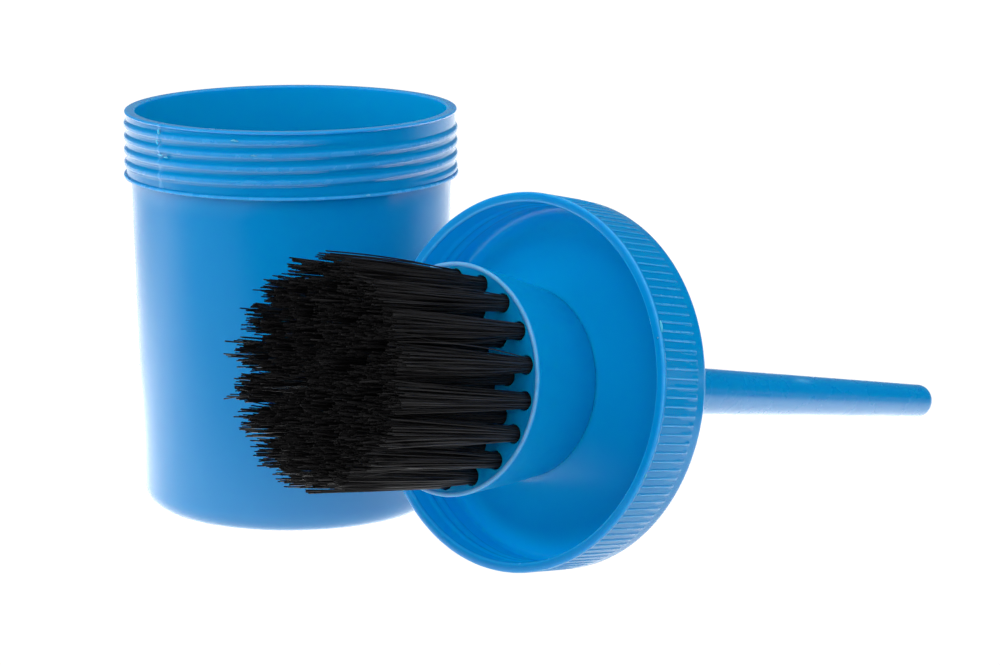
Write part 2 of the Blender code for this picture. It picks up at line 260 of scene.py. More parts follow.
def mesh_object(name, points, faces, material, wear_and_highlight=None, matrix=None, sharp_deg=40, painted_light=None):
    """A smooth object with crisp edges, from millimetre points. The pale-edge share (wear, and on rims and
    ridges a painted highlight) and the share of painted light on inside walls are values per point.
    """
    mesh = bpy.data.meshes.new(name)
    mesh.from_pydata((np.asarray(points) * MM).tolist(), [], [list(f) for f in faces])
    mesh.update()
    bm = bmesh.new()
    bm.from_mesh(mesh)
    bmesh.ops.recalc_face_normals(bm, faces=bm.faces)
    bm.to_mesh(mesh)
    bm.free()
    for kind, values in (("wear_and_highlight", wear_and_highlight), ("painted_light", painted_light)):
        if values is not None:
            layer = mesh.attributes.new(kind, "FLOAT", "POINT")
            layer.data.foreach_set("value", np.asarray(values, np.float32).ravel())
    mesh.materials.append(material)
    mesh.polygons.foreach_set("use_smooth", [True] * len(mesh.polygons))
    mesh.set_sharp_from_angle(angle=math.radians(sharp_deg))
    obj = bpy.data.objects.new(name, mesh)
    bpy.context.scene.collection.objects.link(obj)
    if matrix is not None:
        obj.matrix_world = matrix
    return obj


def cylinder_points(radius, height, angle):
    return np.stack([radius * np.cos(angle), radius * np.sin(angle), height + 0 * angle], axis=-1)


def lathe(profile, columns):
    """Points of a turned shape, (rows, columns, 3)."""
    profile = np.array(profile)
    angle = np.linspace(0, TAU, columns, endpoint=False)
    radius = profile[:, :1] + 0 * angle
    height = profile[:, 1:] + 0 * angle
    return cylinder_points(radius, height, angle[None, :] + 0 * radius)


# ---- Materials ------------------------------------------------------------


RANGE_SOCKETS = ("From Min", "From Max", "To Min", "To Max")


class Nodes:
    """Short calls to build a node tree."""

    def __init__(self, tree):
        self.tree = tree

    def add(self, kind, **values):
        node = self.tree.nodes.new(kind)
        for key, value in values.items():
            setattr(node, key, value)
        return node

    def link(self, source, target):
        self.tree.links.new(source, target)

    def spread(self, value, low, high, to_low, to_high):
        node = self.add("ShaderNodeMapRange")
        for socket, number in zip(RANGE_SOCKETS, (low, high, to_low, to_high)):
            node.inputs[socket].default_value = number
        self.link(value, node.inputs["Value"])
        return node.outputs["Result"]

    def maths(self, operation, a, b):
        node = self.add("ShaderNodeMath", operation=operation)
        for socket, value in zip(node.inputs, (a, b)):
            if isinstance(value, (int, float)):
                socket.default_value = value
            else:
                self.link(value, socket)
        return node.outputs["Value"]


class LookNodes(Nodes):
    """A material's node tree, built round its Principled shader."""

    def __init__(self, name):
        self.material = bpy.data.materials.new(name)
        self.material.use_nodes = True
        super().__init__(self.material.node_tree)
        self.shader = self.tree.nodes["Principled BSDF"]

    def noise(self, coordinates, scale, detail=3.0, roughness=0.5):
        node = self.add("ShaderNodeTexNoise")
        node.inputs["Scale"].default_value = scale
        node.inputs["Detail"].default_value = detail
        node.inputs["Roughness"].default_value = roughness
        self.link(coordinates, node.inputs["Vector"])
        return node.outputs["Fac"]

    def mix(self, share, a, b):
        node = self.add("ShaderNodeMix", data_type="RGBA")
        self.link(share, node.inputs["Factor"])
        # Inputs 6 and 7, and output 2, are the ones that carry a colour
        for socket, value in zip((node.inputs[6], node.inputs[7]), (a, b)):
            if isinstance(value, tuple):
                socket.default_value = value
            else:
                self.link(value, socket)
        return node.outputs[2]


BLUE = (0.0005, 0.226, 0.520, 1.0)
BLUE_DEEP = (0.0005, 0.212, 0.495, 1.0)
# Pale blue of worn edges, also used as a painted highlight along ribs, thread crests and the cap's rim and
# back edge
BLUE_WORN_AND_HIGHLIGHT = (0.130, 0.430, 0.720, 1.0)
# Painted light: a paler blue on inside walls, standing for light that comes through the thin plastic
BLUE_PAINTED_LIGHT = (0.0005, 0.44, 0.80, 1.0)
# Pale grey-blue of the block's face edge: partly wear, partly a painted highlight
BLOCK_WORN_AND_HIGHLIGHT = (0.34, 0.52, 0.66, 1.0)
NYLON_DARK = (0.006, 0.0058, 0.0064, 1.0)
NYLON_LIGHT = (0.022, 0.0215, 0.0225, 1.0)
CUT_DARK = (0.002, 0.002, 0.0022, 1.0)
CUT_LIGHT = (0.010, 0.0098, 0.010, 1.0)

# How far light wanders in the plastic, red to blue, and the depth in metres that it stands for
GLOW_REACH = (0.1, 0.7, 1.0)
GLOW_DEPTH = 0.0022

# Relief: shares of the fine grain and the broad waves, and the height in metres that it stands for
FINE_RELIEF = 0.008
BROAD_RELIEF = 0.6
RELIEF_STRENGTH = 0.12
RELIEF_HEIGHT = 0.0006
WORN_ROUGHER = 0.15


def moulded_plastic(name, flow_axis=(1, 1, 1), roughness=(0.19, 0.27), specular=0.42, worn_and_highlight=BLUE_WORN_AND_HIGHLIGHT):
    """Glossy moulded polyethylene: faint colour flow, satin patches, pale edges that are partly worn and
    partly a painted highlight, and inside walls painted paler as painted light.
    """
    n = LookNodes(name)
    place = n.add("ShaderNodeTexCoord").outputs["Object"]
    stretch = n.add("ShaderNodeMapping")
    stretch.inputs["Scale"].default_value = flow_axis
    n.link(place, stretch.inputs["Vector"])
    flow = n.noise(stretch.outputs["Vector"], 28.0, 4.0)
    colour = n.mix(n.spread(flow, 0.35, 0.65, 0.0, 1.0), BLUE_DEEP, BLUE)
    # Inside walls painted paler: painted light for the light that comes through the wall
    painted_light = n.add("ShaderNodeAttribute", attribute_name="painted_light").outputs["Fac"]
    colour = n.mix(painted_light, colour, BLUE_PAINTED_LIGHT)
    # Pale edges: wear, and on rims and ridges a painted highlight
    wear_and_highlight = n.add("ShaderNodeAttribute", attribute_name="wear_and_highlight").outputs["Fac"]
    patches = n.spread(n.noise(place, 300.0, 3.0, 0.5), 0.35, 0.65, 0.7, 1.0)
    worn_and_highlight_share = n.maths("MULTIPLY", wear_and_highlight, patches)
    n.link(n.mix(worn_and_highlight_share, colour, worn_and_highlight), n.shader.inputs["Base Color"])
    satin = n.noise(place, 75.0, 5.0, 0.6)
    rough = n.spread(satin, 0.3, 0.7, *roughness)
    rough = n.maths("ADD", rough, n.maths("MULTIPLY", worn_and_highlight_share, WORN_ROUGHER))
    n.link(rough, n.shader.inputs["Roughness"])
    fine = n.noise(place, 900.0, 3.0, 0.55)
    broad = n.noise(stretch.outputs["Vector"], 60.0, 2.0)
    fine = n.maths("MULTIPLY", fine, FINE_RELIEF)
    height = n.maths("ADD", fine, n.maths("MULTIPLY", broad, BROAD_RELIEF))
    bump = n.add("ShaderNodeBump")
    bump.inputs["Strength"].default_value = RELIEF_STRENGTH
    bump.inputs["Distance"].default_value = RELIEF_HEIGHT
    n.link(height, bump.inputs["Height"])
    n.link(bump.outputs["Normal"], n.shader.inputs["Normal"])
    n.shader.inputs["Specular IOR Level"].default_value = specular
    n.shader.inputs["Subsurface Weight"].default_value = 1.0
    n.shader.inputs["Subsurface Radius"].default_value = GLOW_REACH
    n.shader.inputs["Subsurface Scale"].default_value = GLOW_DEPTH
    return n.material


def bristle_nylon(name, dark, light, roughness, specular):
    """Black nylon filament: shade varies from filament to filament and along it."""
    n = LookNodes(name)
    place = n.add("ShaderNodeTexCoord").outputs["Object"]
    stretch = n.add("ShaderNodeMapping")
    stretch.inputs["Scale"].default_value = (1, 1, 0.05)
    n.link(place, stretch.inputs["Vector"])
    shade = n.noise(stretch.outputs["Vector"], 1400.0, 2.0)
    n.link(n.mix(n.spread(shade, 0.35, 0.65, 0.0, 1.0), dark, light), n.shader.inputs["Base Color"])
    n.link(n.spread(shade, 0.3, 0.7, roughness - 0.06, roughness + 0.1), n.shader.inputs["Roughness"])
    n.shader.inputs["Specular IOR Level"].default_value = specular
    return n.material


pot_plastic = moulded_plastic("pot_plastic_look", (1, 1, 0.35))
cap_plastic = moulded_plastic("cap_plastic_look")
block_plastic = moulded_plastic("block_plastic_look", roughness=(0.3, 0.45), worn_and_highlight=BLOCK_WORN_AND_HIGHLIGHT)
handle_plastic = moulded_plastic("handle_plastic_look", (1, 1, 0.2), roughness=(0.22, 0.32))
nylon = bristle_nylon("bristle_look", NYLON_DARK, NYLON_LIGHT, roughness=0.36, specular=0.5)
nylon_cut = bristle_nylon("bristle_cut_look", CUT_DARK, CUT_LIGHT, roughness=0.6, specular=0.2)


# ---- Pot ------------------------------------------------------------------


def make_pot():
    """Base, tapered body, thin collar, threaded neck with mould seams, rolled rim and plain inside."""
    corner = POT_BASE_R - POT_BASE_ROUND
    body_from = (POT_BASE_R + 0.02, POT_BASE_ROUND + 1)
    body_to = (POT_BODY_TOP_R, POT_COLLAR_LOW - 0.7)
    profile = [(4.0, 0.0)] + rows_between((12.0, 0.0), (corner - 1.5, 0.0), 8.0)
    profile += arc(corner, POT_BASE_ROUND, POT_BASE_ROUND, -90, 0, 12)
    profile += rows_between(body_from, body_to, 6.0)
    profile += [
        (POT_BODY_TOP_R, POT_COLLAR_LOW - 0.5),
        (POT_BODY_TOP_R + 0.12, POT_COLLAR_LOW - 0.15),
        (POT_BODY_TOP_R + 0.5, POT_COLLAR_LOW),
        (POT_COLLAR_R - 0.35, POT_COLLAR_LOW + 0.02),
        (POT_COLLAR_R - 0.08, POT_COLLAR_LOW + 0.14),
        (POT_COLLAR_R, POT_COLLAR_LOW + 0.4),
        (POT_COLLAR_R - 0.08, POT_COLLAR_LOW + 0.68),
        (POT_COLLAR_R - 0.35, POT_COLLAR_HIGH - 0.14),
        (POT_NECK_R + 0.25, POT_COLLAR_HIGH - 0.04),
        (POT_NECK_R, POT_COLLAR_HIGH + 0.15),
    ]
    thread_from = len(profile)
    profile += rows_between((POT_NECK_R, POT_COLLAR_HIGH + 0.3), (POT_NECK_R, POT_HEIGHT - 0.95), 0.2)
    thread_to = len(profile)
    profile += [
        (POT_NECK_R, POT_HEIGHT - 0.95),
        (POT_NECK_R + 0.25, POT_HEIGHT - 0.8),
        (POT_RIM_R - 0.1, POT_HEIGHT - 0.62),
        (POT_RIM_R, POT_HEIGHT - 0.42),
        (POT_RIM_R - 0.1, POT_HEIGHT - 0.16),
        (POT_RIM_R - 0.35, POT_HEIGHT - 0.02),
        (POT_RIM_R - 0.7, POT_HEIGHT),
        (POT_MOUTH_R + 0.6, POT_HEIGHT),
        (POT_MOUTH_R + 0.22, POT_HEIGHT - 0.06),
        (POT_MOUTH_R + 0.04, POT_HEIGHT - 0.25),
        (POT_MOUTH_R, POT_HEIGHT - 0.6),
    ]
    inside_round = 4.0
    floor_r = POT_INSIDE_BASE_R - inside_round
    wall_to = (POT_INSIDE_BASE_R, POT_FLOOR + inside_round)
    profile += rows_between((POT_MOUTH_R - 0.03, POT_HEIGHT - 2), wall_to, 7.0)
    profile += arc(floor_r, POT_FLOOR + inside_round, inside_round, 0, -90, 8)
    profile += rows_between((floor_r - 2, POT_FLOOR), (4.0, POT_FLOOR), 8.0)
    profile = np.array(profile)
    angle = np.linspace(0, TAU, POT_COLUMNS, endpoint=False)
    radius = np.repeat(profile[:, :1], POT_COLUMNS, axis=1)
    height = np.repeat(profile[:, 1:], POT_COLUMNS, axis=1)
    wear_and_highlight = np.zeros_like(radius)
    band = slice(thread_from, thread_to)
    turned, ridge = helix(radius[band], height[band], angle[None, :], POT_THREAD)
    radius[band] = turned
    # Thread crests painted pale: partly wear, partly a painted highlight
    wear_and_highlight[band] = THREAD_WEAR_AND_HIGHLIGHT * smooth((ridge - 0.45) / 0.55)
    seam = np.zeros_like(angle)
    for degrees in (POT_SEAM_DEG, POT_SEAM_DEG + 180):
        off = np.abs(np.mod(angle - math.radians(degrees) + math.pi, TAU) - math.pi) * POT_NECK_R
        seam = np.maximum(seam, np.clip(1 - off / 0.75, 0, 1))
    row = np.arange(len(profile))
    neck = (height > POT_COLLAR_HIGH) & (row < thread_to + 5)[:, None]
    radius = radius + np.where(neck, 0.16 * seam, 0)
    wear_and_highlight = np.maximum(wear_and_highlight, np.where(neck, SEAM_WEAR * seam, 0))
    body = (height > POT_BASE_ROUND) & (height <= POT_COLLAR_LOW - 0.5)
    body &= (row < thread_from)[:, None]
    radius = radius + np.where(body, 0.02 * seam, 0)
    lip = (row >= thread_to + 2) & (row <= thread_to + 8)
    wear_and_highlight[lip] = np.maximum(wear_and_highlight[lip], LIP_WEAR)
    wear_and_highlight[thread_to + 8:thread_to + 10] = MOUTH_EDGE_WEAR
    collar = (row >= thread_from - 6) & (row <= thread_from - 3)
    wear_and_highlight[collar] = COLLAR_WEAR
    # The pot's inside painted paler: painted light
    painted_light = np.where((row > thread_to + 9)[:, None], POT_PAINTED_LIGHT, 0.0) * np.ones_like(radius)
    wobble = 0.05 * np.sin(2 * angle + 0.7) + 0.02 * np.sin(5 * angle + 2.0)
    radius = radius + wobble * smooth((height - 60) / 50)
    points = cylinder_points(radius, height, np.repeat(angle[None, :], len(profile), axis=0))
    rows = len(profile)
    faces = [list(f) for f in grid_faces(rows, POT_COLUMNS)]
    faces.append(list(range(POT_COLUMNS))[::-1])
    faces.append([(rows - 1) * POT_COLUMNS + j for j in range(POT_COLUMNS)])
    pot = mesh_object("pot_shell", points.reshape(-1, 3), faces, pot_plastic, wear_and_highlight, painted_light=painted_light)
    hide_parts("pot")
    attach(pot, "pot_body")
    return pot


# ---- Cap ------------------------------------------------------------------


def floor_height(radius):
    """The dished floor's place along the axis, and its slope, at this radius."""
    rise = CAP_CORNER_S - CAP_BOSS_S
    span = CAP_FLOOR_R - CAP_BOSS_R
    share = max(0.0, (CAP_FLOOR_R - radius) / span)
    slope = CAP_FLOOR_POWER * rise / span * share ** (CAP_FLOOR_POWER - 1)
    return CAP_CORNER_S - rise * share**CAP_FLOOR_POWER, slope


def skirt(height):
    return CAP_LAND_R + (CAP_BACK_R - CAP_LAND_R) * height / CAP_HEIGHT


def make_cap():
    """Bead rim, skirt with fine raised ribs, plain band, hollow back, dished floor and inside thread."""
    profile = [(CAP_HOLE_R, CAP_BOSS_S), (14.0, CAP_BOSS_S), (CAP_BOSS_R - 1.0, CAP_BOSS_S)]
    boss_edge = ((-0.5, 0.07), (0.0, 0.27), (0.5, 0.66))
    profile += [(CAP_BOSS_R + step, CAP_BOSS_S + lift) for step, lift in boss_edge]
    dish = np.linspace(CAP_BOSS_R + 1.2, CAP_FLOOR_R, 16)
    profile += [(radius, floor_height(radius)[0]) for radius in dish]
    profile += [(46.1, CAP_CORNER_S - 0.05), (46.8, CAP_CORNER_S - 0.3), (47.2, CAP_CORNER_S - 0.75)]
    thread_from = len(profile)
    profile += rows_between((CAP_INSIDE_R, CAP_CORNER_S - 1.4), (CAP_INSIDE_R, 1.3), 0.28)
    thread_to = len(profile)
    profile += [
        (CAP_INSIDE_R, 1.2),
        (CAP_INSIDE_R + 0.03, 0.8),
        (CAP_INSIDE_R + 0.14, 0.4),
        (CAP_INSIDE_R + 0.4, 0.1),
        (CAP_INSIDE_R + 0.8, 0.0),
        (CAP_RIM_R - 0.8, 0.0),
        (CAP_RIM_R - 0.35, 0.08),
        (CAP_RIM_R - 0.08, 0.32),
        (CAP_RIM_R, 0.7),
        (CAP_RIM_R - 0.03, 1.1),
        (CAP_RIM_R - 0.12, 1.3),
        (skirt(RIB_LOW - 0.1) + 0.04, RIB_LOW - 0.1),
    ]
    rib_from = len(profile)
    for height in (RIB_LOW, RIB_LOW + 0.15, RIB_LOW + 0.4, 4.5, 7.0, 9.5, 12.0):
        profile.append((skirt(height), height))
    for height in (RIB_HIGH - 0.5, RIB_HIGH - 0.15, RIB_HIGH):
        profile.append((skirt(height), height))
    rib_to = len(profile)
    profile += [(skirt(h), h) for h in (RIB_HIGH + 0.4, 16.6, CAP_HEIGHT - 1.1)]
    profile += arc(CAP_BACK_R - 1.0, CAP_HEIGHT - 1.0, 1.0, 20, 90, 5)
    profile += [(radius, CAP_HEIGHT) for radius in (46.0, 43.5, CAP_RECESS_R + 0.9)]
    profile.append((CAP_RECESS_R + 0.4, 18.5))
    for radius in np.linspace(CAP_RECESS_R - 0.4, CAP_BOSS_R + 1.5, 12):
        height, slope = floor_height(radius)
        profile.append((radius, min(CAP_HEIGHT - 0.3, height + CAP_WALL * math.hypot(1, slope))))
    flat = CAP_BOSS_S + CAP_WALL * 1.5
    profile += [(CAP_BOSS_R + 0.3, flat + 0.35), (CAP_BOSS_R - 0.9, flat), (14.0, flat), (CAP_HOLE_R, flat)]
    profile = np.array(profile)
    shares = np.array([c[0] for c in RIB_COLUMNS])
    raises = np.array([c[1] for c in RIB_COLUMNS])
    angle = ((np.arange(RIBS)[:, None] + 0.5 + shares[None, :]) * TAU / RIBS).ravel()
    raised = np.tile(raises, RIBS)
    columns = len(angle)
    radius = np.repeat(profile[:, :1], columns, axis=1)
    height = np.repeat(profile[:, 1:], columns, axis=1)
    wear_and_highlight = np.zeros_like(radius)
    band = slice(thread_from, thread_to)
    turned, _ = helix(radius[band], height[band], angle[None, :], CAP_THREAD)
    radius[band] = turned
    band = slice(rib_from, rib_to)
    along = profile[band, 1]
    crest = np.interp(along, (RIB_LOW, RIB_HIGH), (RIB_CREST_LOW_R, RIB_CREST_HIGH_R)) - skirt(along)
    run = np.array([0.5, 0.9, 1.0, 1.0, 1.0, 1.0, 1.0, 0.9, 0.5, 0.0])
    jitter = 1 + 0.10 * np.random.default_rng(4).standard_normal(RIBS).repeat(len(raises))
    radius[band] += (crest * run)[:, None] * (raised * jitter)[None, :]
    # Rib crests painted pale: partly wear, partly a painted highlight
    wear_and_highlight[band] = RIB_WEAR_AND_HIGHLIGHT * run[:, None] * raised[None, :]
    # Painted light: the cap's inside wall paler, the rim's inner edge partly so, and the dish painted
    # darker near the boss (painted shade) and paler towards the skirt
    painted_light = np.zeros_like(radius)
    outward = profile[:thread_from, 0] - CAP_DISH_LIGHT_FROM_R
    outward = smooth(outward / (CAP_DISH_LIGHT_TO_R - CAP_DISH_LIGHT_FROM_R))
    painted_light[:thread_from] = (CAP_DISH_PAINTED_LIGHT + (1 - CAP_DISH_PAINTED_LIGHT) * outward)[:, None]
    painted_light[thread_from:thread_to + 1] = 1.0
    painted_light[thread_to + 1:thread_to + 4] = CAP_INSIDE_EDGE_PAINTED_LIGHT
    # The rim's inner edge, its bead and the back corner painted pale: partly wear, partly a painted
    # highlight
    wear_and_highlight[thread_to + 2:thread_to + 4] = CAP_INSIDE_EDGE_WEAR_AND_HIGHLIGHT
    wear_and_highlight[thread_to + 6:thread_to + 9] = np.array(CAP_BEAD_WEAR_AND_HIGHLIGHT)[:, None]
    wear_and_highlight[rib_to + 3:rib_to + 7] = CAP_CORNER_WEAR_AND_HIGHLIGHT
    points = cylinder_points(radius, height, np.repeat(angle[None, :], len(profile), axis=0))
    faces = grid_faces(len(profile), columns, loop=True)
    cap = mesh_object("cap_shell", points.reshape(-1, 3), faces, cap_plastic, wear_and_highlight, LID, painted_light=painted_light)
    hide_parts("cap")
    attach(cap, "lid_body")
    return cap


# ---- Brush ----------------------------------------------------------------


def tuft_places():
    """Name and centre of every tuft on the block's face, ring by ring."""
    places = []
    for radius, count, first in TUFT_RINGS:
        for i in range(count):
            angle = math.radians(first + 360 * i / count)
            centre = (radius * math.cos(angle), radius * math.sin(angle))
            places.append((f"tuft_{len(places) + 1:02d}", centre))
    return places


def make_block():
    """The cone that holds the tufts, with a raised edge round its drilled face, painted pale: partly wear,
    partly a painted highlight.
    """
    columns = 160
    profile = [(BLOCK_BACK_R, BLOCK_BACK_S), (BLOCK_BACK_R + 0.12, BLOCK_BACK_S - 0.25)]
    profile += rows_between((BLOCK_BACK_R + 0.25, BLOCK_BACK_S - 1), (BLOCK_BACK_R + 2.3, -9.0), 2.0)
    profile += rows_between((BLOCK_BACK_R + 2.3, -9.0), (BLOCK_FACE_R - 0.3, BLOCK_FACE_S + 2.2), 2.0)
    profile += [
        (BLOCK_FACE_R - 0.18, BLOCK_FACE_S + 1.2),
        (BLOCK_FACE_R - 0.02, BLOCK_FACE_S + 0.6),
        (BLOCK_FACE_R, BLOCK_FACE_S + 0.2),
        (BLOCK_FACE_R - 0.1, BLOCK_FACE_S - 0.08),
        (BLOCK_FACE_R - 0.35, BLOCK_FACE_S - 0.2),
        (BLOCK_FACE_R - 0.75, BLOCK_FACE_S - 0.2),
        (BLOCK_FACE_R - 1.0, BLOCK_FACE_S - 0.1),
        (BLOCK_FACE_R - 1.2, BLOCK_FACE_S),
    ]
    rim_from = len(profile) - 6
    points = lathe(profile, columns)
    angle = np.linspace(0, TAU, columns, endpoint=False)
    ragged = 0.06 * np.sin(9 * angle + 1) + 0.05 * np.sin(23 * angle) + 0.03 * np.sin(41 * angle + 2)
    points[rim_from:-1, :, 2] += ragged[None, :] * np.array([0.3, 0.8, 1.0, 1.0, 0.6])[:, None]
    wear_and_highlight = np.zeros(points.shape[:2])
    # The face edge painted pale: partly wear, partly a painted highlight
    wear_and_highlight[rim_from:-1] = np.array(BLOCK_EDGE_WEAR_AND_HIGHLIGHT)[:, None]
    rows = len(profile)
    faces = [list(f) for f in grid_faces(rows, columns)]
    faces.append(list(range(columns))[::-1])
    faces.append([(rows - 1) * columns + j for j in range(columns)])
    block = mesh_object("brush_block_body", points.reshape(-1, 3), faces, block_plastic, wear_and_highlight, LID)
    cut_points = []
    cut_faces = []
    sides = 20
    ends = [(TUFT_HOLE_R, BLOCK_FACE_S - 2), (TUFT_HOLE_R, BLOCK_FACE_S + TUFT_HOLE_DEPTH)]
    for _, (x, y) in tuft_places():
        tube = lathe(ends, sides)
        base = len(cut_points) * sides * 2
        cut_points.append(tube.reshape(-1, 3) + (x, y, 0))
        cut_faces += [[v + base for v in f] for f in grid_faces(2, sides)]
        cut_faces.append([base + j for j in range(sides)][::-1])
        cut_faces.append([base + sides + j for j in range(sides)])
    holes = mesh_object("tuft_holes", np.concatenate(cut_points), cut_faces, block_plastic, None, LID)
    cut = block.modifiers.new("holes", "BOOLEAN")
    cut.operation = "DIFFERENCE"
    cut.solver = "EXACT"
    cut.object = holes
    bpy.context.view_layer.update()
    graph = bpy.context.evaluated_depsgraph_get()
    drilled = bpy.data.meshes.new_from_object(block.evaluated_get(graph))
    block.modifiers.clear()
    bpy.data.objects.remove(holes)
    block.data = drilled
    drilled.polygons.foreach_set("use_smooth", [True] * len(drilled.polygons))
    drilled.set_sharp_from_angle(angle=math.radians(35))
    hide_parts("brush_block")
    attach(block, "lid_body")
    return block


def make_tuft(name, centre, rng):
    """One tuft of separate filaments, packed round in its hole and fanning out to a rough trimmed end."""
    sides = 5
    steps = 9
    count = FILAMENTS
    order = np.arange(count) + 0.5
    reach = np.sqrt(order / count)
    turn = order * GOLDEN_ANGLE + rng.uniform(0, TAU)
    root = (TUFT_R - FILAMENT_R) * reach[:, None] * np.stack([np.cos(turn), np.sin(turn)], axis=1)
    root += rng.normal(0, ROOT_SCATTER, (count, 2))
    end = root * (TUFT_END_R / TUFT_R) + rng.normal(0, END_SCATTER, (count, 2))
    length = -TUFT_END_S + rng.normal(0, LENGTH_SCATTER, count)
    pick = rng.random(count)
    length += np.where(pick < LONG_BELOW, rng.uniform(0, OFF_LENGTH, count), 0)
    short = (pick > SHORT_FROM) & (pick < SHORT_TO)
    length -= np.where(short, rng.uniform(0, OFF_LENGTH, count), 0)
    stray = pick > STRAY_ABOVE
    length += np.where(stray, STRAY_LEAST + STRAY_MORE * rng.random(count) ** 2, 0)
    end += np.where(stray, 1.0, 0.0)[:, None] * rng.normal(0, STRAY_SCATTER, (count, 2))
    bend = rng.normal(0, BEND_SCATTER, (count, 2))
    kinked = np.where(rng.random(count) < KINKED_SHARE, 1.0, 0.0)
    bend += kinked[:, None] * rng.normal(0, KINK_SCATTER, (count, 2))
    start = -BLOCK_FACE_S - 6.0
    t = np.linspace(0, 1, steps)
    along = start + (length[:, None] - start) * t
    grow = smooth((along + BLOCK_FACE_S) / 14.0) * 0.12
    open_t = np.clip((along + BLOCK_FACE_S) / (-TUFT_END_S + BLOCK_FACE_S), 0, None)
    share = (open_t**1.15 * 0.88 + grow)[:, :, None]
    path = np.empty((count, steps, 3))
    sway = np.sin(math.pi * np.clip(open_t, 0, 1.1) * 0.95)[:, :, None]
    path[:, :, :2] = root[:, None, :] + (end - root)[:, None, :] * share + bend[:, None, :] * sway
    path[:, :, 0] += centre[0]
    path[:, :, 1] += centre[1]
    path[:, :, 2] = -along
    girth = FILAMENT_R * rng.uniform(0.86, 1.1, count)
    phase = rng.uniform(0, TAU, count)
    around = np.arange(sides) * TAU / sides
    around = around[None] + phase[:, None]
    offset = np.stack([np.cos(around), np.sin(around)], axis=-1)
    rings = np.repeat(path[:, :, None, :], sides, axis=2)
    rings[..., :2] += girth[:, None, None, None] * offset[:, None, :, :]
    tilt = rng.normal(0, CUT_TILT, (count, 2))
    rings[:, -1, :, 2] += girth[:, None] * (offset * tilt[:, None, :]).sum(-1)
    per = steps * sides
    one = grid_faces(steps, sides)
    faces = []
    for i in range(count):
        faces += (one + i * per).tolist()
        faces.append([i * per + (steps - 1) * sides + j for j in range(sides)])
        faces.append([i * per + j for j in range(sides)][::-1])
    tuft = mesh_object(name + "_filaments", rings.reshape(-1, 3), faces, nylon, None, LID)
    tuft.data.materials.append(nylon_cut)
    slots = np.zeros(len(tuft.data.polygons), np.int32)
    slots[len(one)::len(one) + 2] = 1
    tuft.data.polygons.foreach_set("material_index", slots)
    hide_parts(name)
    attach(tuft, "lid_body")
    return tuft


def make_handle():
    """The long tapered handle with its seat on the cap's back and a softly rounded tip."""
    columns = 96
    fall = (HANDLE_R_AT_BACK - HANDLE_TIP_R) / (HANDLE_TIP_S - CAP_HEIGHT)
    round_s = HANDLE_TIP_S - HANDLE_ROUND

    def taper(s):
        return HANDLE_R_AT_BACK - fall * (s - CAP_HEIGHT)

    profile = [(HANDLE_SEAT_R - 3, HANDLE_SEAT_S), (HANDLE_SEAT_R - 0.3, HANDLE_SEAT_S)]
    profile += [(HANDLE_SEAT_R, HANDLE_SEAT_S + 0.3), (HANDLE_SEAT_R - 0.4, HANDLE_SEAT_S + 0.8)]
    for degrees in range(15, 91, 15):
        swing = math.radians(degrees)
        seat_r = taper(12.0) + 1.9 * (1 - math.sin(swing))
        profile.append((seat_r, HANDLE_SEAT_S + 0.9 + 4.2 * (1 - math.cos(swing))))
    profile += rows_between((taper(12.5), 12.5), (taper(round_s - 0.8), round_s - 0.8), 1.2)
    tip = taper(round_s)
    for degrees in range(0, 91, 9):
        swing = math.radians(degrees)
        tip_r = max(0.05, tip * math.cos(swing) ** 0.8)
        profile.append((tip_r, round_s + HANDLE_ROUND * math.sin(swing)))
    points = lathe(profile, columns)
    along = points[:, :, 2]
    points[:, :, 0] -= HANDLE_SAG * smooth((along - 14) / 30)
    rows = len(profile)
    faces = [list(f) for f in grid_faces(rows, columns)]
    faces.append(list(range(columns))[::-1])
    faces.append([(rows - 1) * columns + j for j in range(columns)])
    wear_and_highlight = np.zeros(points.shape[:2])
    wear_and_highlight[-9:-3] = HANDLE_TIP_WEAR
    turn = np.arctan2(points[:, :, 1], points[:, :, 0])
    off_along = (along - SCUFF_S) / SCUFF_LENGTH
    off_round = (turn - SCUFF_TURN) * SCUFF_AT_R / SCUFF_WIDTH
    scuff = np.exp(-(off_along**2) - off_round**2)
    wear_and_highlight += SCUFF_WEAR * scuff * np.random.default_rng(5).uniform(0.3, 1.0, wear_and_highlight.shape)
    handle = mesh_object("handle_stem", points.reshape(-1, 3), faces, handle_plastic, wear_and_highlight, LID)
    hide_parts("handle")
    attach(handle, "lid_body")
    return handle


def make_burrs(name, body, marks, matrix, rng):
    """Small torn slivers of flash. Each has a four-sided section that swells and thins along its length."""
    points = []
    faces = []
    count = 7
    for degrees, radius, height, length, tall in marks:
        start = math.radians(degrees)
        for i in range(count):
            share = i / (count - 1)
            swell = math.sin(math.pi * (0.12 + 0.8 * share))
            angle = start + (share - 0.5) * length / radius
            lift = tall * swell * rng.uniform(0.6, 1.0)
            z = height + rng.uniform(-0.12, 0.12) * tall
            section = (
                (-0.15, -0.3 * lift),
                (0.28 * swell, -0.1 * lift),
                (0.34 * swell, 0.35 * lift),
                (-0.15, 0.5 * lift),
            )
            for out, up in section:
                r = radius + out
                points.append((r * math.cos(angle), r * math.sin(angle), z + up))
        base = len(points) - 4 * count
        faces += [[base + v for v in f] for f in grid_faces(count, 4).tolist()]
        faces.append([base, base + 1, base + 2, base + 3])
        faces.append([base + 4 * (count - 1) + k for k in (3, 2, 1, 0)])
    wear_and_highlight = np.full(len(points), BURR_WEAR)
    burrs = mesh_object(name, points, faces, pot_plastic, wear_and_highlight, matrix, sharp_deg=60)
    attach(burrs, body)


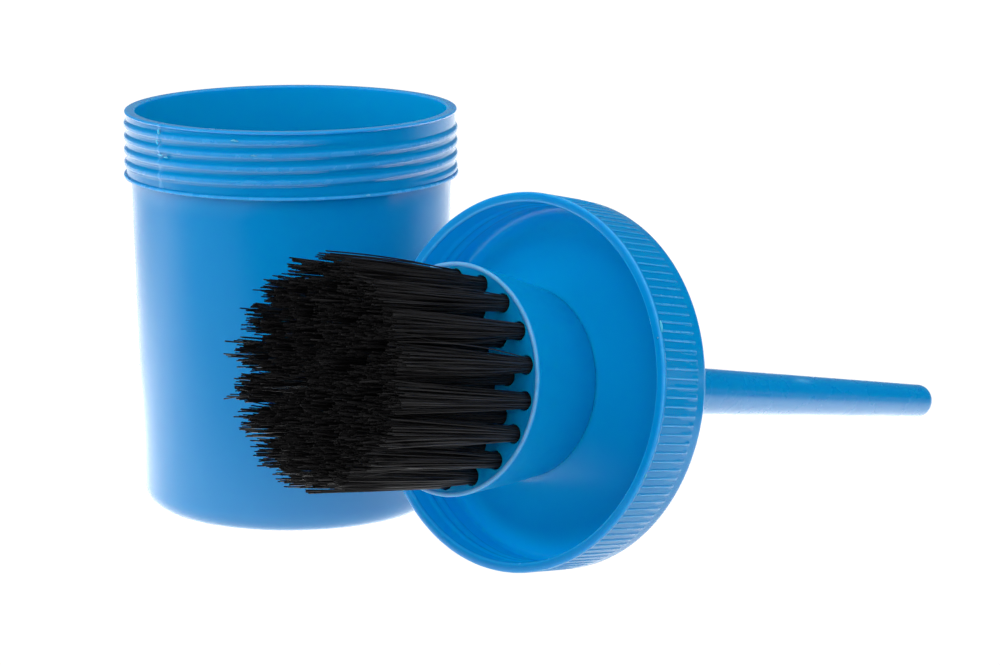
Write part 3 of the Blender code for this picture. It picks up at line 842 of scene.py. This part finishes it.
make_pot()
make_burrs("neck_burrs", "pot_body", NECK_BURRS, None, np.random.default_rng(7))
make_cap()
make_burrs("cap_burrs", "lid_body", CAP_BURRS, LID, np.random.default_rng(8))
make_block()
make_handle()
for number, (tuft_name, tuft_centre) in enumerate(tuft_places()):
    make_tuft(tuft_name, tuft_centre, np.random.default_rng(100 + number))


# ---- Stage ----------------------------------------------------------------


# Brightness of the lit table against metres away from and to the right of the pot's middle
FLOOR_DEPTH = (
    (-0.42, 0.0),
    (-0.28, 0.6),
    (-0.13, 0.8),
    (-0.09, 1.3),
    (0.0, 2.9),
    (0.07, 3.3),
    (0.15, 2.6),
    (0.3, 2.0),
)
FLOOR_SIDES = ((-0.45, 0.5), (-0.2, 0.85), (-0.07, 1.0), (0.1, 1.1), (0.19, 1.0), (0.3, 0.0))
# Least share of it behind the object, whatever the side
FLOOR_BEHIND = ((0.03, 0.0), (0.16, 0.3), (0.4, 0.9))
# The table's slanting front end: its slope, where the slope stops on the right, and how it fades
FRONT_SLANT = 0.8
FRONT_END = 0.04
FLOOR_FRONT = ((-0.2, 0.0), (-0.16, 0.2), (-0.115, 1.0))
# Its even brightness to the camera, and as a light on the object
FLOOR_SEEN = 1.05
FLOOR_LIGHT = 1.05
FLOOR_Z = -0.0003

# Brightness of the room in reflections, against the direction's parts away, to the right and up
WORLD_AWAY = ((0.5, 0.0), (0.85, 0.2), (1.0, 0.32))
WORLD_RIGHT = ((-1.0, 0.15), (-0.25, 0.05), (-0.15, 0.0))
WORLD_HEIGHT = ((0.0, 1.0), (0.25, 0.9), (0.4, 0.15), (0.5, 0.0))
# Strength of the room as a light on the object, against the same three parts
LIGHT_RIGHT = ((-1.0, 0.88), (1.0, 0.76))
LIGHT_AWAY = ((-1.0, 1.05), (1.0, 0.8))
LIGHT_UP = ((0.0, 0.95), (0.5, 1.2), (1.0, 1.7))

# The camera's heading on the floor, and the directions away from it and to its right
HEADING = math.radians(CAMERA_HEADING_DEG)
AWAY = (-math.sin(HEADING), math.cos(HEADING), 0)
RIGHT = (math.cos(HEADING), math.sin(HEADING), 0)
UP = (0, 0, 1)


class StageNodes(Nodes):
    """Short calls for the floor's and the world's node trees."""

    def ramp(self, value, stops):
        """Straight lines through (position, height) pairs, held level beyond both ends."""
        total = stops[0][1]
        for (low, a), (high, b) in zip(stops, stops[1:]):
            total = self.maths("ADD", total, self.spread(value, low, high, 0, b - a))
        return total

    def along(self, place, direction):
        node = self.add("ShaderNodeVectorMath", operation="DOT_PRODUCT")
        self.link(place, node.inputs[0])
        node.inputs[1].default_value = direction
        return node.outputs["Value"]

    def by_ray(self, seen, mirrored, lit):
        """A brightness for rays from the camera, for mirror rays and for the rest."""
        paths = self.add("ShaderNodeLightPath").outputs
        camera, glossy = paths["Is Camera Ray"], paths["Is Glossy Ray"]
        first = self.maths("MULTIPLY", camera, seen)
        second = self.maths("MULTIPLY", glossy, mirrored)
        rest = self.maths("SUBTRACT", self.maths("SUBTRACT", 1.0, camera), glossy)
        return self.maths("ADD", self.maths("ADD", first, second), self.maths("MULTIPLY", rest, lit))


def make_floor():
    """A white table that gives its own light: even to the camera and as a lamp, uneven in reflections."""
    mesh = bpy.data.meshes.new("floor")
    mesh.from_pydata([(-4, -4, 0), (4, -4, 0), (4, 4, 0), (-4, 4, 0)], [], [(0, 1, 2, 3)])
    material = bpy.data.materials.new("floor_white")
    material.use_nodes = True
    material.cycles.emission_sampling = "NONE"
    n = StageNodes(material.node_tree)
    n.tree.nodes.clear()
    place = n.add("ShaderNodeNewGeometry").outputs["Position"]
    away = n.along(place, AWAY)
    right = n.along(place, RIGHT)
    depth = n.ramp(away, FLOOR_DEPTH)
    sides = n.ramp(right, FLOOR_SIDES)
    share = n.maths("MAXIMUM", sides, n.ramp(away, FLOOR_BEHIND))
    slant = n.maths("MULTIPLY", n.maths("MINIMUM", right, FRONT_END), FRONT_SLANT)
    front = n.ramp(n.maths("SUBTRACT", away, slant), FLOOR_FRONT)
    mirrored = n.maths("MULTIPLY", n.maths("MULTIPLY", depth, share), front)
    shine = n.add("ShaderNodeEmission")
    n.link(n.by_ray(FLOOR_SEEN, mirrored, FLOOR_LIGHT), shine.inputs["Strength"])
    n.link(shine.outputs["Emission"], n.add("ShaderNodeOutputMaterial").inputs["Surface"])
    mesh.materials.append(material)
    floor = bpy.data.objects.new("floor", mesh)
    floor.location.z = FLOOR_Z
    bpy.context.scene.collection.objects.link(floor)


def softbox(name, at, target, size, power):
    """A white area lamp that lights the object and isn't seen in it."""
    data = bpy.data.lights.new(name, "AREA")
    data.shape = "RECTANGLE"
    data.size, data.size_y = size
    data.energy = power
    lamp = bpy.data.objects.new(name, data)
    lamp.location = at
    lamp.rotation_euler = (Vector(target) - Vector(at)).to_track_quat("-Z", "Y").to_euler()
    lamp.visible_glossy = False
    bpy.context.scene.collection.objects.link(lamp)


def make_world():
    """A white room to the camera. Reflections see it only behind and at the left, and it fades upwards."""
    world = bpy.data.worlds.new("studio")
    bpy.context.scene.world = world
    world.use_nodes = True
    world.cycles.sampling_method = "NONE"
    n = StageNodes(world.node_tree)
    place = n.add("ShaderNodeTexCoord").outputs["Generated"]
    away = n.along(place, AWAY)
    right = n.along(place, RIGHT)
    up = n.along(place, UP)
    sides = n.maths("MAXIMUM", n.ramp(away, WORLD_AWAY), n.ramp(right, WORLD_RIGHT))
    mirrored = n.maths("MULTIPLY", sides, n.ramp(up, WORLD_HEIGHT))
    lit = n.maths("MULTIPLY", n.ramp(right, LIGHT_RIGHT), n.ramp(away, LIGHT_AWAY))
    lit = n.maths("MULTIPLY", lit, n.ramp(up, LIGHT_UP))
    background = n.tree.nodes["Background"]
    background.inputs["Color"].default_value = (1, 1, 1, 1)
    n.link(n.by_ray(1.0, mirrored, lit), background.inputs["Strength"])


def make_camera():
    data = bpy.data.cameras.new("camera")
    data.lens = CAMERA_LENS
    data.sensor_width = 36
    data.clip_end = 50
    camera = bpy.data.objects.new("camera", data)
    camera.location = Vector(CAMERA_AT) * MM
    camera.rotation_euler = (math.radians(90 - CAMERA_DOWN_DEG), 0, HEADING)
    bpy.context.scene.collection.objects.link(camera)
    bpy.context.scene.camera = camera


def view_frame(right, forward, up):
    """A place given from the pot's base as the camera sees it: to the right, away, and up, in metres."""
    c, s = math.cos(HEADING), math.sin(HEADING)
    return (right * c - forward * s, right * s + forward * c, up)


make_floor()
make_world()
make_camera()
middle = view_frame(0.05, 0, 0.05)
softbox("front", view_frame(-0.75, -1.0, 1.15), middle, (0.9, 0.7), 4.5)
softbox("beside_camera", view_frame(0.1, -1.2, 0.42), middle, (0.5, 0.5), 2.5)
softbox("left", view_frame(-1.3, -0.35, 0.45), middle, (0.7, 0.6), 4.5)
softbox("right", view_frame(1.0, -0.7, 1.1), middle, (0.8, 0.6), 2.5)
bpy.context.scene.view_settings.view_transform = "Standard"
